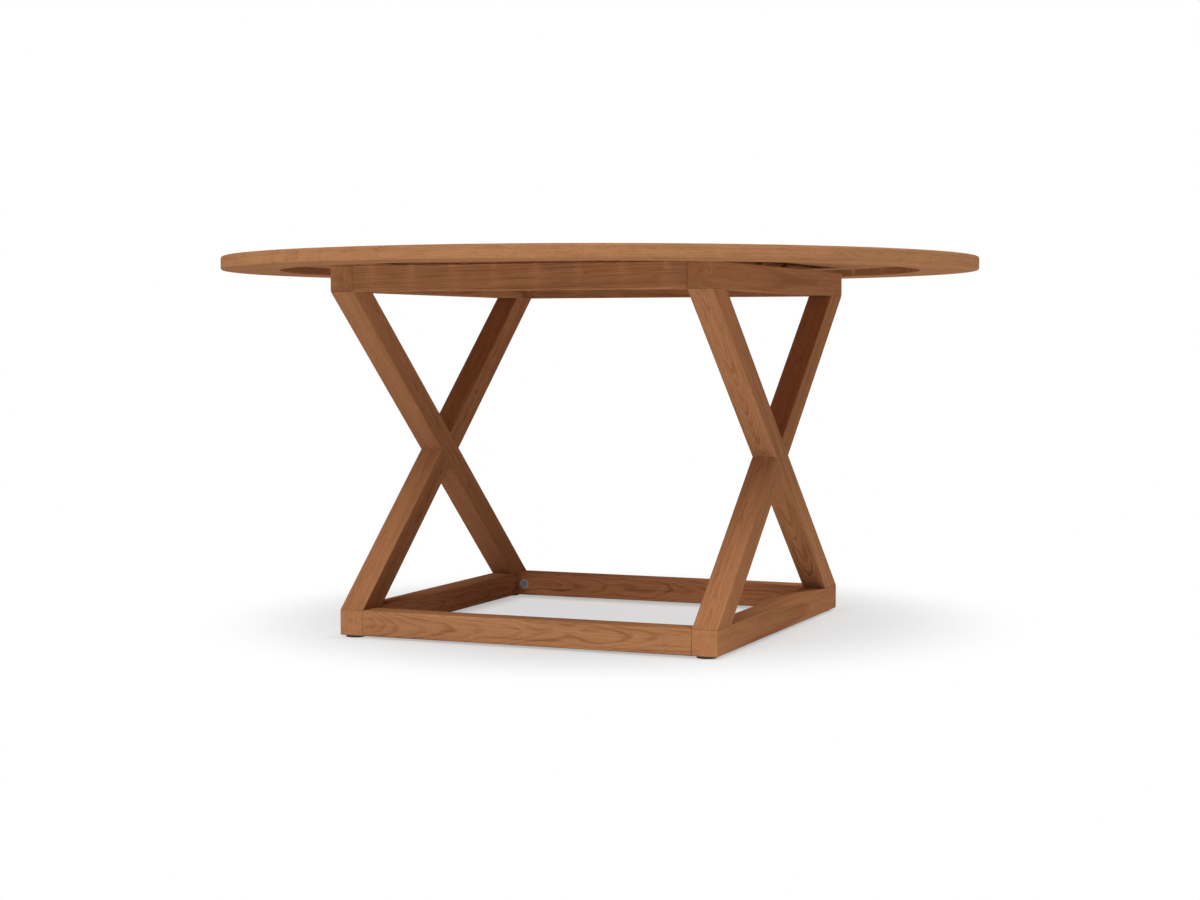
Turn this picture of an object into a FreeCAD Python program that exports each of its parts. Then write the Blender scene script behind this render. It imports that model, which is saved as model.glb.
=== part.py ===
import FreeCAD
import Part
import math
import os

# Round slatted dining table on two side frames of crossed legs.
# Millimetres, +Z up, front towards -Y, origin on the floor under the centre of the top.

Vector = FreeCAD.Vector

# Overall size
top_diameter = 1524.0
table_height = 746.5

# Slatted round top
rim_width = 116.0
rim_thickness = 26.0
rim_outer_round = 4.0
rim_inner_round = 1.5
rim_segment_count = 8
slat_count = 15
slat_thickness = 11.0
slat_gap = 5.5
slat_edge_round = 1.5
slat_end_clearance = 0.3

# Tongues of the slats, in the groove of the rim
tongue_reach = 12.0
tongue_thickness = 4.0
tongue_setback = 5.0
groove_clearance = 0.2

# Loose splines across the seams of the rim
spline_length = 44.0
spline_width = 60.0
spline_thickness = 8.0

# Base frame, with an open gap between it and the slats
top_gap = 10.0
base_width = 782.0
apron_frame_depth = 835.0
rail_frame_depth = 775.0
side_thickness = 50.0
apron_thickness = 50.0
apron_height = 50.5
rail_thickness = 50.0
rail_height = 50.0
leg_depth = 52.0
member_edge_round = 2.5

# Glued joints of the side frames
tenon_thickness = 16.0
tenon_shoulder = 15.0
apron_tenon_length = 22.0
glue_gap = 0.1

# Battens that carry the slats, from one side frame to the other
batten_width = 40.0
batten_height = 32.0
batten_spacing = 165.0
batten_edge_round = 1.5
batten_dowel_spacing = 20.0

# Countersunk screws of the battens
screw_length = 35.0
screw_diameter = 4.0
screw_head_diameter = 8.0
screw_head_height = 2.5
screw_point_length = 5.0
screw_sink = 4.0
screw_clearance = 0.05
screw_drive_length = 4.4
screw_drive_width = 1.0
screw_drive_depth = 1.4

# Knock-down connectors, each a housing, a cam and a stud
connector_setback = 16.5
housing_diameter = 20.0
housing_depth = 13.0
housing_wall = 2.0
housing_floor = 1.5
housing_clearance = 0.1
cam_clearance = 0.08
cam_sink = 0.4
cam_end_play = 0.2
cam_eccentricity = 0.5
cam_grip_clearance = 0.4
cam_drive_length = 9.0
cam_drive_width = 1.8
cam_drive_depth = 1.4
connector_stud_depth = 6.5
connector_stud_head_diameter = 6.4
connector_stud_head_length = 2.8
connector_stud_head_reach = 4.2
connector_stud_neck_diameter = 3.8
connector_stud_shank_diameter = 7.0
connector_stud_thread_diameter = 5.0
connector_stud_clearance = 0.2

# Dowels beside the connectors and in the ends of the battens
dowel_diameter = 8.0
dowel_depth = 18.0
dowel_spacing = 24.0
dowel_setback = 14.0
socket_floor = 3.0

# Levelling feet, each a pad, a stud with a hexagon collar and a threaded insert
foot_height = 5.0
foot_left_offset = 4.0
pad_diameter = 38.0
pad_edge_round = 1.0
pad_floor = 1.6
pad_lip = 1.6
foot_stud_diameter = 8.0
foot_stud_rise = 5.0
foot_stud_chamfer = 1.0
foot_head_diameter = 14.0
foot_running_clearance = 0.08
foot_end_play = 0.05
collar_across_flats = 13.0
collar_height = 4.0
collar_headroom = 1.0
insert_diameter = 12.0
insert_length = 13.0
bore_headroom = 1.5
bore_clearance = 0.5
bore_roof = 4.0

# How far a cutting shape runs past the face that it opens
cut_overrun = 1.0

# Heights and places that follow from the sizes above
top_radius = top_diameter / 2
rim_inner_radius = top_radius - rim_width
rim_middle_radius = top_radius - rim_width / 2
rim_bottom = table_height - rim_thickness
slat_bottom = table_height - slat_thickness
slat_middle = table_height - slat_thickness / 2
slat_pitch = 2 * rim_inner_radius / slat_count
slat_half_width = (slat_pitch - slat_gap) / 2
apron_top = slat_bottom - top_gap
apron_bottom = apron_top - apron_height
rail_bottom = foot_height
rail_top = rail_bottom + rail_height
side_inner = base_width / 2 - side_thickness
side_middle = base_width / 2 - side_thickness / 2
side_socket_depth = (side_thickness - tenon_thickness) / 2 - socket_floor

# Legs: one edge starts at the front of the top rail, the other ends at the rear of the bottom rail
leg_run = (apron_frame_depth + rail_frame_depth) / 2
leg_rise = apron_bottom - rail_top
leg_diagonal = math.hypot(leg_run, leg_rise)
leg_angle = math.atan2(leg_rise, leg_run) + math.asin(leg_depth / leg_diagonal)
leg_footprint = leg_depth / math.sin(leg_angle)
leg_middle = Vector(side_middle, (rail_frame_depth - apron_frame_depth) / 4, (apron_bottom + rail_top) / 2)

# Levels inside a levelling foot and its bore in the bottom rail
insert_bottom = rail_bottom + collar_height + collar_headroom
insert_top = insert_bottom + insert_length
foot_stud_top = insert_top + foot_stud_rise
foot_bore_top = foot_stud_top + bore_headroom
rail_tenon_length = rail_top - foot_bore_top - bore_roof

# Battens reach from the slats down past the tops of the side rails that hold them
batten_bottom = slat_bottom - batten_height
batten_dowel_level = (batten_bottom + apron_top) / 2

X_AXIS = Vector(1, 0, 0)
Y_AXIS = Vector(0, 1, 0)
Z_AXIS = Vector(0, 0, 1)
ORIGIN = Vector(0, 0, 0)


# Basic shapes

def bar(low, high):
    """A square-edged bar between two opposite corners."""
    size = high - low
    return Part.makeBox(size.x, size.y, size.z, low)


def centred_bar(size, centre):
    """A square-edged bar of a given size about its centre."""
    return bar(centre - size / 2, centre + size / 2)


def eased_bar(low, high, radius, axis=None):
    """A bar with rounded edges: those along one axis, or all of them."""
    solid = bar(low, high)
    edges = solid.Edges
    if axis is not None:
        edges = [edge for edge in edges if edge_runs_along(edge, axis)]
    return solid.makeFillet(radius, edges)


def edge_runs_along(edge, axis):
    first, last = edge.Vertexes
    direction = (last.Point - first.Point).normalize()
    return abs(direction.dot(axis)) > 0.99


def rod(start, axis, radius, length):
    """A round rod from a point along an axis."""
    return Part.makeCylinder(radius, length, start, axis)


def turned(shape):
    """The same piece on the opposite side of the table, half a turn round the middle."""
    copy = shape.copy()
    copy.rotate(ORIGIN, Z_AXIS, 180)
    return copy


def flipped(shape, level):
    """The same fitting at the other end of a cross member, half a turn round the member's middle."""
    copy = shape.copy()
    copy.rotate(Vector(0, 0, level), Y_AXIS, 180)
    return copy


def moved(shape, offset):
    copy = shape.copy()
    copy.translate(offset)
    return copy


def save(name, shape):
    if not shape.isValid():
        raise ValueError(name + " is not a valid shape")
    shape.exportStep(os.path.join("parts", name + ".step"))


# Round top

def slat_centre(number):
    """Distance of a slat from the middle of the top, to the right."""
    return (number - (slat_count - 1) / 2) * slat_pitch


def screwed_slats():
    """Centres of the slats that the battens are screwed to."""
    reach = side_inner - slat_half_width
    centres = [slat_centre(number) for number in range(slat_count)]
    return [x for x in centres if abs(x) <= reach]


def rim_seam_angle(number):
    return 360.0 * (number + 0.5) / rim_segment_count


def rim_ring():
    """The whole rim with rounded edges and the groove for the slat tongues."""
    low = Vector(0, 0, rim_bottom)
    ring = rod(low, Z_AXIS, top_radius, rim_thickness)
    outer_edges = [edge for edge in ring.Edges if edge.Closed]
    ring = ring.makeFillet(rim_outer_round, outer_edges)
    hole_start = low - Z_AXIS * cut_overrun
    hole_length = rim_thickness + 2 * cut_overrun
    ring = ring.cut(rod(hole_start, Z_AXIS, rim_inner_radius, hole_length))
    inner_edges = [edge for edge in ring.Edges if edge.Closed and is_inner_circle(edge)]
    ring = ring.makeFillet(rim_inner_round, inner_edges)
    groove_height = tongue_thickness + 2 * groove_clearance
    groove_start = Vector(0, 0, slat_middle - groove_height / 2)
    groove_radius = rim_inner_radius + tongue_reach + groove_clearance
    return ring.cut(rod(groove_start, Z_AXIS, groove_radius, groove_height))


def is_inner_circle(edge):
    return abs(edge.Curve.Radius - rim_inner_radius) < rim_inner_round


def spline_blank(number, gap):
    """A spline in its place across one seam, or its slot when a gap is given."""
    growth = Vector(gap, gap, gap) * 2
    size = Vector(spline_width, spline_length, spline_thickness) + growth
    blank = centred_bar(size, Vector(rim_middle_radius, 0, table_height - rim_thickness / 2))
    blank.rotate(ORIGIN, Z_AXIS, rim_seam_angle(number))
    return blank


def make_rim():
    ring = rim_ring()
    reach = top_radius + cut_overrun
    step = 360.0 / rim_segment_count
    low = Vector(0, 0, rim_bottom - cut_overrun)
    for number in range(rim_segment_count):
        wedge = Part.makeCylinder(reach, rim_thickness + 2 * cut_overrun, low, Z_AXIS, step)
        wedge.rotate(ORIGIN, Z_AXIS, rim_seam_angle(number))
        slots = [spline_blank(number, glue_gap), spline_blank(number + 1, glue_gap)]
        save("rim_segment_%d" % (number + 1), ring.common(wedge).cut(slots))
    splines = [spline_blank(number, 0) for number in range(rim_segment_count)]
    save("rim_splines", Part.makeCompound(splines))


def slat_blank(number, setback):
    """Length of board that a slat, or its tongue with a setback, is cut from."""
    x = slat_centre(number)
    left = x - slat_half_width + setback
    right = x + slat_half_width - setback
    if number == 0:
        left = -top_radius
    if number == slat_count - 1:
        right = top_radius
    return Vector(left, -top_radius, slat_bottom), Vector(right, top_radius, table_height)


def make_slats():
    disc = rod(Vector(0, 0, slat_bottom), Z_AXIS, rim_inner_radius - slat_end_clearance, slat_thickness)
    disc = disc.makeFillet(slat_edge_round, [edge for edge in disc.Edges if edge.Closed])
    tongue_start = Vector(0, 0, slat_middle - tongue_thickness / 2)
    tongue_disc = rod(tongue_start, Z_AXIS, rim_inner_radius + tongue_reach, tongue_thickness)
    fixed = screwed_slats()
    for number in range(slat_count):
        low, high = slat_blank(number, 0)
        board = eased_bar(low, high, slat_edge_round, Y_AXIS).common(disc)
        low, high = slat_blank(number, tongue_setback)
        slat = board.fuse(bar(low, high).common(tongue_disc)).removeSplitter()
        x = slat_centre(number)
        if x in fixed:
            slat = slat.cut([slat_screw(x, y, screw_clearance) for y in batten_lines()])
        save("slat_%02d" % (number + 1), slat)


# Battens and their screws

def batten_lines():
    """Distance of each batten from the middle of the top, front to rear."""
    return [-batten_spacing, 0.0, batten_spacing]


def screw(growth):
    """A screw that points up from the origin at the middle of its head, or its hole when it is grown."""
    shank = screw_diameter / 2 + growth
    shank_end = screw_length - screw_point_length
    head = Part.makeCone(screw_head_diameter / 2 + growth, shank, screw_head_height)
    body = rod(Vector(0, 0, screw_head_height), Z_AXIS, shank, shank_end - screw_head_height)
    point = Part.makeCone(shank, growth, screw_point_length, Vector(0, 0, shank_end))
    solid = head.fuse([body, point])
    if growth > 0:
        entry_start = Vector(0, 0, -screw_sink)
        return solid.fuse(rod(entry_start, Z_AXIS, screw_head_diameter / 2 + growth, screw_sink))
    drive = centred_bar(Vector(screw_drive_length, screw_drive_width, 2 * screw_drive_depth), ORIGIN)
    cross = drive.copy()
    cross.rotate(ORIGIN, Z_AXIS, 90)
    return solid.removeSplitter().cut([drive, cross])


def slat_screw(x, y, growth):
    """A screw, or its hole, up through a batten into a slat."""
    return moved(screw(growth), Vector(x, y, batten_bottom + screw_sink))


def end_dowel(y, z, growth):
    """A dowel from a cross piece into the right side rail, or its socket when it is grown."""
    start = side_inner - dowel_depth - growth
    length = dowel_depth + side_socket_depth + 2 * growth
    return rod(Vector(start, y, z), X_AXIS, dowel_diameter / 2 + growth, length)


def batten_dowels(y, growth):
    """The two dowels at the right end of a batten, or their sockets when they are grown."""
    places = [y - batten_dowel_spacing / 2, y + batten_dowel_spacing / 2]
    return [end_dowel(place, batten_dowel_level, growth) for place in places]


def batten(y):
    half = Vector(side_inner, batten_width / 2, 0)
    low = Vector(0, y, batten_bottom) - half
    high = Vector(0, y, slat_bottom) + half
    sockets = batten_dowels(y, glue_gap)
    sockets += [flipped(socket, batten_dowel_level) for socket in sockets]
    holes = [slat_screw(x, y, screw_clearance) for x in screwed_slats()]
    return eased_bar(low, high, batten_edge_round, X_AXIS).cut(holes + sockets)


def make_battens():
    for place, y in zip(("front", "middle", "rear"), batten_lines()):
        save(place + "_batten", batten(y))
    screws = [slat_screw(x, y, 0) for x in screwed_slats() for y in batten_lines()]
    save("batten_screws", Part.makeCompound(screws))


# Knock-down connectors

cam_radius = housing_diameter / 2 - housing_wall - cam_clearance
connector_head_corner = math.hypot(connector_stud_head_reach, connector_stud_head_diameter / 2)


def placed_connector(shape, depth, thickness, level):
    """A fitting, made with its face up at the origin, in the inner face of a front member's right end."""
    copy = shape.copy()
    copy.rotate(ORIGIN, X_AXIS, -90)
    copy.translate(Vector(side_inner - connector_setback, thickness - depth / 2, level))
    return copy


def housing_blank(growth):
    length = housing_depth + growth
    return rod(Vector(0, 0, -length), Z_AXIS, housing_diameter / 2 + growth, length)


def connector_stud_segment(start, end, diameter, growth):
    return rod(Vector(start, 0, -connector_stud_depth), X_AXIS, diameter / 2 + growth, end - start)


def connector_housing():
    bore_depth = housing_depth - housing_floor
    bore_radius = housing_diameter / 2 - housing_wall
    bore = rod(Vector(0, 0, -bore_depth), Z_AXIS, bore_radius, bore_depth + cut_overrun)
    window = connector_stud_segment(0, housing_diameter,
                                    connector_stud_shank_diameter, connector_stud_clearance)
    return housing_blank(0).cut([bore, window])


def connector_cam():
    """Turning disc with a cross drive, a hollow for the stud's head and a slot for its neck."""
    low = -housing_depth + housing_floor + cam_end_play
    disc = rod(Vector(0, 0, low), Z_AXIS, cam_radius, -cam_sink - low)
    half_hollow = connector_stud_head_diameter / 2 + cam_grip_clearance
    hollow_radius = connector_head_corner + cam_grip_clearance + cam_eccentricity
    hollow_start = Vector(-cam_eccentricity, 0, -connector_stud_depth - half_hollow)
    hollow = rod(hollow_start, Z_AXIS, hollow_radius, 2 * half_hollow)
    half_slot = connector_stud_neck_diameter / 2 + cam_grip_clearance
    slot_margin = math.degrees(math.asin(half_slot / connector_stud_head_reach))
    slot_low = Vector(0, 0, -connector_stud_depth - half_slot)
    slot_angle = 180.0 + 2 * slot_margin
    slot = Part.makeCylinder(housing_diameter / 2, 2 * half_slot, slot_low, Z_AXIS, slot_angle)
    slot.rotate(ORIGIN, Z_AXIS, -180.0 - slot_margin)
    entry = rod(Vector(0, 0, -connector_stud_depth), -X_AXIS, half_hollow, housing_diameter / 2)
    drive_size = Vector(cam_drive_length, cam_drive_width, 2 * cam_drive_depth)
    drive = centred_bar(drive_size, Vector(0, 0, -cam_sink))
    cross = drive.copy()
    cross.rotate(ORIGIN, Z_AXIS, 90)
    return disc.cut([hollow, slot, entry, drive, cross])


def connector_stud():
    head_start = connector_stud_head_reach - connector_stud_head_length
    shank_start = housing_diameter / 2
    head = connector_stud_segment(head_start, connector_stud_head_reach, connector_stud_head_diameter, 0)
    neck = connector_stud_segment(connector_stud_head_reach, shank_start, connector_stud_neck_diameter, 0)
    shank = connector_stud_segment(shank_start, connector_setback, connector_stud_shank_diameter, 0)
    thread_end = connector_setback + side_socket_depth
    thread = connector_stud_segment(connector_setback, thread_end, connector_stud_thread_diameter, 0)
    return head.fuse([neck, shank, thread]).removeSplitter()


def connector_member_space():
    """What a connector takes out of the end of a cross member."""
    bore = connector_stud_segment(0, connector_setback + cut_overrun,
                                  connector_stud_shank_diameter, connector_stud_clearance)
    mouth = rod(ORIGIN, Z_AXIS, housing_diameter / 2 + housing_clearance, cut_overrun)
    return housing_blank(housing_clearance).fuse([bore, mouth])


def connector_side_space():
    """What a connector takes out of a side rail."""
    start = connector_setback - cut_overrun
    end = connector_setback + side_socket_depth + glue_gap
    return connector_stud_segment(start, end, connector_stud_thread_diameter, glue_gap)


def joint_dowels(depth, level, growth):
    """The two dowels at the right end of a front member, or their sockets when they are grown."""
    y = dowel_setback - depth / 2
    levels = [level - dowel_spacing / 2, level + dowel_spacing / 2]
    return [end_dowel(y, z, growth) for z in levels]


def four_corners(shape, level):
    """A fitting at the front right, front left, rear left and rear right of one frame."""
    left = flipped(shape, level)
    return {
        "front_right": shape,
        "front_left": left,
        "rear_left": turned(shape),
        "rear_right": turned(left),
    }


def frames():
    """Outer depth, member thickness and middle height of the frame above and the frame below."""
    upper = (apron_frame_depth, apron_thickness, apron_top - apron_height / 2)
    lower = (rail_frame_depth, rail_thickness, rail_top - rail_height / 2)
    return {"upper": upper, "lower": lower}


def make_connectors():
    housings = []
    studs = []
    dowels = []
    for frame, (depth, thickness, level) in frames().items():
        cams = four_corners(placed_connector(connector_cam(), depth, thickness, level), level)
        for corner, cam in cams.items():
            save("%s_%s_cam" % (corner, frame), cam)
        housing = placed_connector(connector_housing(), depth, thickness, level)
        housings += four_corners(housing, level).values()
        stud = placed_connector(connector_stud(), depth, thickness, level)
        studs += four_corners(stud, level).values()
        for dowel in joint_dowels(depth, level, 0):
            dowels += four_corners(dowel, level).values()
    for y in batten_lines():
        for dowel in batten_dowels(y, 0):
            dowels += [dowel, flipped(dowel, batten_dowel_level)]
    save("connector_housings", Part.makeCompound(housings))
    save("connector_studs", Part.makeCompound(studs))
    save("alignment_dowels", Part.makeCompound(dowels))


# Cross members between the side frames

def cross_member(depth, thickness, bottom, top):
    """The front member of a frame, with its connectors and dowels let in at both ends."""
    level = (bottom + top) / 2
    low = Vector(-side_inner, -depth / 2, bottom)
    high = Vector(side_inner, thickness - depth / 2, top)
    spaces = [placed_connector(connector_member_space(), depth, thickness, level)]
    spaces += joint_dowels(depth, level, glue_gap)
    spaces += [flipped(space, level) for space in spaces]
    return eased_bar(low, high, member_edge_round, X_AXIS).cut(spaces)


def make_cross_members():
    apron = cross_member(apron_frame_depth, apron_thickness, apron_bottom, apron_top)
    save("front_apron", apron)
    save("rear_apron", turned(apron))
    rail = cross_member(rail_frame_depth, rail_thickness, rail_bottom, rail_top)
    save("front_bottom_rail", rail)
    save("rear_bottom_rail", turned(rail))


# Side frames with crossed legs

def leg_board(thickness, depth):
    """A square-edged board along the leg whose top is at the front."""
    length = leg_diagonal + 2 * leg_depth
    return centred_bar(Vector(thickness, length, depth), ORIGIN)


def along_leg(board):
    """Put a board that lies along Y into the leg's own slope and place."""
    board.rotate(ORIGIN, X_AXIS, -math.degrees(leg_angle))
    board.translate(leg_middle)
    return board


def mirrored(shape):
    """The matching leg, with its top at the rear."""
    return shape.mirror(ORIGIN, Y_AXIS)


def leg_tenons(growth):
    """Stub tenons at the top front and bottom rear of a leg, or their mortises when they are grown."""
    margin = Vector(growth, growth, growth)
    inner = side_middle - tenon_thickness / 2
    outer = side_middle + tenon_thickness / 2
    front = -apron_frame_depth / 2
    rear = rail_frame_depth / 2
    upper_low = Vector(inner, front + tenon_shoulder, apron_bottom)
    upper_rear = front + leg_footprint - tenon_shoulder
    upper_high = Vector(outer, upper_rear, apron_bottom + apron_tenon_length)
    lower_front = rear - leg_footprint + tenon_shoulder
    lower_low = Vector(inner, lower_front, rail_top - rail_tenon_length)
    lower_high = Vector(outer, rear - tenon_shoulder, rail_top)
    return [
        bar(upper_low - margin, upper_high + margin),
        bar(lower_low - margin, lower_high + margin),
    ]


def leg_crossing(growth):
    """The space that the leg with its top at the front takes up at the crossing."""
    return along_leg(leg_board(side_thickness + 2 * cut_overrun, leg_depth + 2 * growth))


def side_half(x_low, x_high):
    """Everything of the side frame between two planes across its thickness."""
    reach = leg_diagonal
    return bar(Vector(x_low, -reach, 0), Vector(x_high, reach, table_height))


def plain_leg():
    """The leg with its top at the front, cut to the rails and with its tenons."""
    board = leg_board(side_thickness, leg_depth)
    long_edges = [edge for edge in board.Edges if edge_runs_along(edge, Y_AXIS)]
    board = board.makeFillet(member_edge_round, long_edges)
    reach = leg_diagonal
    between_rails = bar(Vector(0, -reach, rail_top), Vector(base_width, reach, apron_bottom))
    return along_leg(board).common(between_rails).fuse(leg_tenons(0)).removeSplitter()


def make_legs():
    leg = plain_leg()
    inner = side_half(side_inner - cut_overrun, side_middle)
    outer = side_half(side_middle - glue_gap, base_width / 2 + cut_overrun)
    crossing = leg_crossing(glue_gap)
    front_leg = leg.cut(mirrored(crossing).common(inner))
    rear_leg = mirrored(leg).cut(crossing.common(outer))
    save("right_leg_top_front", front_leg)
    save("right_leg_top_rear", rear_leg)
    save("left_leg_top_front", turned(rear_leg))
    save("left_leg_top_rear", turned(front_leg))


def side_rail(frame, bottom, top):
    """A rail of the right side frame, with mortises, connector sockets and dowel sockets."""
    depth, thickness, level = frames()[frame]
    low = Vector(side_inner, -depth / 2, bottom)
    high = Vector(base_width / 2, depth / 2, top)
    mortises = leg_tenons(glue_gap)
    mortises += [mirrored(mortise) for mortise in mortises]
    sockets = joint_dowels(depth, level, glue_gap)
    sockets.append(placed_connector(connector_side_space(), depth, thickness, level))
    sockets += [mirrored(socket) for socket in sockets]
    return eased_bar(low, high, member_edge_round).cut(mortises + sockets)


def make_side_rails():
    upper = side_rail("upper", apron_bottom, apron_top)
    upper = upper.cut([socket for y in batten_lines() for socket in batten_dowels(y, glue_gap)])
    save("right_top_rail", upper)
    save("left_top_rail", turned(upper))
    lower = side_rail("lower", rail_bottom, rail_top)
    bores = four_feet(foot_bore())
    save("right_bottom_rail", lower.cut([bores["front_right"], bores["rear_right"]]))
    save("left_bottom_rail", turned(lower).cut([bores["front_left"], bores["rear_left"]]))


# Levelling feet

def foot_axis(level):
    """A point on the axis of the front right foot, a little left of its rail's middle."""
    x = side_middle - foot_left_offset
    return Vector(x, rail_thickness / 2 - rail_frame_depth / 2, level)


def foot_rod(bottom, top, radius):
    return rod(foot_axis(bottom), Z_AXIS, radius, top - bottom)


def collar_corner_radius():
    return collar_across_flats / 2 / math.cos(math.pi / 6)


def foot_bore():
    """The stepped bore for a foot in the right bottom rail."""
    recess_radius = collar_corner_radius() + collar_headroom
    recess = foot_rod(rail_bottom - cut_overrun, insert_bottom, recess_radius)
    insert_bore = foot_rod(insert_bottom, insert_top, insert_diameter / 2 + glue_gap)
    stud_bore = foot_rod(insert_bottom, foot_bore_top, foot_stud_diameter / 2 + bore_clearance)
    return recess.fuse([insert_bore, stud_bore])


def foot_insert():
    sleeve = foot_rod(insert_bottom, insert_top, insert_diameter / 2)
    bore_radius = foot_stud_diameter / 2 + foot_running_clearance
    return sleeve.cut(foot_rod(insert_bottom, insert_top, bore_radius))


def foot_pad():
    """Round pad with a pocket that traps the head of the stud."""
    pad = foot_rod(0, foot_height, pad_diameter / 2)
    pad = pad.makeFillet(pad_edge_round, [edge for edge in pad.Edges if edge.Closed])
    pocket = foot_rod(pad_floor, foot_height - pad_lip, foot_head_diameter / 2 + foot_running_clearance)
    neck = foot_rod(pad_floor, foot_height, foot_stud_diameter / 2 + foot_running_clearance)
    return pad.cut([pocket, neck])


def hexagon_collar():
    """Collar for a spanner, hidden in the recess of the rail when the foot is screwed home."""
    radius = collar_corner_radius()
    centre = foot_axis(foot_height + foot_end_play)
    turns = [index * math.pi / 3 for index in range(7)]
    corners = [centre + Vector(math.cos(turn), math.sin(turn), 0) * radius for turn in turns]
    return Part.Face(Part.makePolygon(corners)).extrude(Z_AXIS * (collar_height - foot_end_play))


def foot_stud():
    radius = foot_stud_diameter / 2
    head_start = pad_floor + foot_end_play
    head_end = foot_height - pad_lip - foot_end_play
    head = foot_rod(head_start, head_end, foot_head_diameter / 2)
    shank = foot_rod(head_start, foot_stud_top - foot_stud_chamfer, radius)
    tip_start = foot_axis(foot_stud_top - foot_stud_chamfer)
    tip = Part.makeCone(radius, radius - foot_stud_chamfer, foot_stud_chamfer, tip_start)
    return shank.fuse([head, hexagon_collar(), tip]).removeSplitter()


def four_feet(shape):
    """A piece of a foot at each corner of the bottom frame."""
    to_left = X_AXIS * (-2 * side_middle)
    to_rear = Y_AXIS * (rail_frame_depth - rail_thickness)
    return {
        "front_right": shape,
        "front_left": moved(shape, to_left),
        "rear_left": moved(shape, to_left + to_rear),
        "rear_right": moved(shape, to_rear),
    }


def make_feet():
    for corner, pad in four_feet(foot_pad()).items():
        save(corner + "_foot_pad", pad)
    for corner, stud in four_feet(foot_stud()).items():
        save(corner + "_foot_stud", stud)
    save("foot_inserts", Part.makeCompound(list(four_feet(foot_insert()).values())))


os.makedirs("parts", exist_ok=True)
make_rim()
make_slats()
make_battens()
make_connectors()
make_cross_members()
make_legs()
make_side_rails()
make_feet()
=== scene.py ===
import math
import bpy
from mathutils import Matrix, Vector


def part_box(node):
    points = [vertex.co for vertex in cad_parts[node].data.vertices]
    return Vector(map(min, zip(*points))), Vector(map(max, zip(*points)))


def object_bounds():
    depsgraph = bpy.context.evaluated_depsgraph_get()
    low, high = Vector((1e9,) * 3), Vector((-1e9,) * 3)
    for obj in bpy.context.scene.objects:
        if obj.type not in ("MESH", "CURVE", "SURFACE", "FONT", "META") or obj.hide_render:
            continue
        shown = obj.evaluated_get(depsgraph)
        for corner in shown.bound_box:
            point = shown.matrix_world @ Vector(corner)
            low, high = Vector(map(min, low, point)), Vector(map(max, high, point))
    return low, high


bl_info = {
    "name": "Round Slatted Table",
    "version": (1, 0, 0),
    "blender": (4, 5, 0),
    "location": "3D View > Sidebar > Table",
    "description": "Finishes a round slatted table on crossed legs and sets up a pale studio round it",
    "category": "Object",
}

import bpy
from bpy.props import FloatProperty, FloatVectorProperty, PointerProperty
from mathutils import Euler, Matrix, Vector

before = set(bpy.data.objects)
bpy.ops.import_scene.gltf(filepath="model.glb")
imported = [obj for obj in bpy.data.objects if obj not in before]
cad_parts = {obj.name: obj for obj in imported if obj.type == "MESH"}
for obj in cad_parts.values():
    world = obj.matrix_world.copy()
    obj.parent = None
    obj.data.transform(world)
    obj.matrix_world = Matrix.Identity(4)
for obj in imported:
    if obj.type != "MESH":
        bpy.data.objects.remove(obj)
cad_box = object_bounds()

SENSOR_WIDTH = 36.0
WHITE = (1.0, 1.0, 1.0)
BLACK = (0.0, 0.0, 0.0)
X_AXIS = Vector((1, 0, 0))
Y_AXIS = Vector((0, 1, 0))
Z_AXIS = Vector((0, 0, 1))


# Settings that a user would change

class WoodFinish(bpy.types.PropertyGroup):
    """Colours and grain of the oiled hardwood"""

    early_colour: FloatVectorProperty(
        name="Early wood", description="Pale wood between the growth rings of the top",
        subtype="COLOR", size=3, min=0.0, max=1.0, default=(0.470, 0.226, 0.103))
    late_colour: FloatVectorProperty(
        name="Late wood", description="Darker wood at the end of each growth ring of the top",
        subtype="COLOR", size=3, min=0.0, max=1.0, default=(0.225, 0.091, 0.038))
    # The base's colours are a little redder than the top's, a painted shade hue for the shade the base sits
    # in
    base_early_colour: FloatVectorProperty(
        name="Early wood of the base", description="Pale wood between the growth rings of the base",
        subtype="COLOR", size=3, min=0.0, max=1.0, default=(0.470, 0.218, 0.100))
    base_late_colour: FloatVectorProperty(
        name="Late wood of the base", description="Darker wood at the end of each growth ring of the base",
        subtype="COLOR", size=3, min=0.0, max=1.0, default=(0.220, 0.084, 0.036))
    pore_colour: FloatVectorProperty(
        name="Pores", description="Short dark lines of the open pores",
        subtype="COLOR", size=3, min=0.0, max=1.0, default=(0.120, 0.045, 0.016))
    ring_spacing: FloatProperty(
        name="Ring spacing", description="Distance from one growth ring to the next",
        unit="LENGTH", min=0.001, max=0.02, default=0.0027)
    wander: FloatProperty(
        name="Wander", description="How far the rings stray along a board, which makes the arched figure",
        unit="LENGTH", min=0.0, max=0.1, default=0.020)
    pith_distance: FloatProperty(
        name="Pith distance", description="Distance from the middle of a board to the middle of its tree",
        unit="LENGTH", min=0.0, max=2.0, default=0.060)
    pith_tilt: FloatProperty(
        name="Pith tilt", description="Slope of the middle of the tree against the board",
        subtype="ANGLE", default=math.radians(1.2))
    gloss: FloatProperty(
        name="Specular level", description="Strength of the satin sheen of the oil",
        subtype="FACTOR", min=0.0, max=1.0, default=0.003)
    relief: FloatProperty(
        name="Relief", description="Depth of the open grain",
        unit="LENGTH", min=0.0, max=0.001, default=0.00010)


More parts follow.
